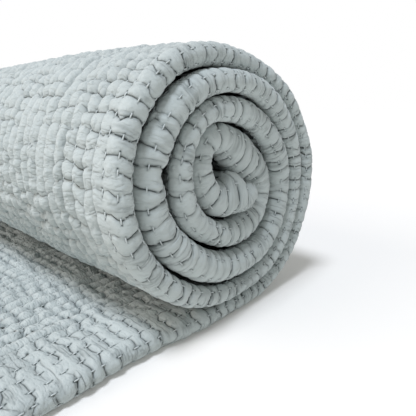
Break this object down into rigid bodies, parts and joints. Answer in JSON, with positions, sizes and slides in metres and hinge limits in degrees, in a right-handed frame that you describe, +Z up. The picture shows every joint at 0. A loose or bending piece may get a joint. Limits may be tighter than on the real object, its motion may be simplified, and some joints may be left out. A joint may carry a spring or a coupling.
{
  "type": "rolled kantha quilt",
  "caption": "Kantha quilt with rows of running stitch, laid double and rolled up, its spiral end open and its loose end lying flat.",
  "frame": {"origin": "on the surface, under the middle of the roll, halfway along it", "axes": "+Z up, +Y along the roll away from the shown spiral end, -X towards the loose end"},
  "size_m": [0.3884, 0.6069, 0.1947],
  "materials": {
    "quilted_cotton": "matt washed cotton, pale grey blue, with thread to match"
  },
  "bodies": {
    "root": {"quilt": "quilted_cotton"}
  },
  "joints": []
}
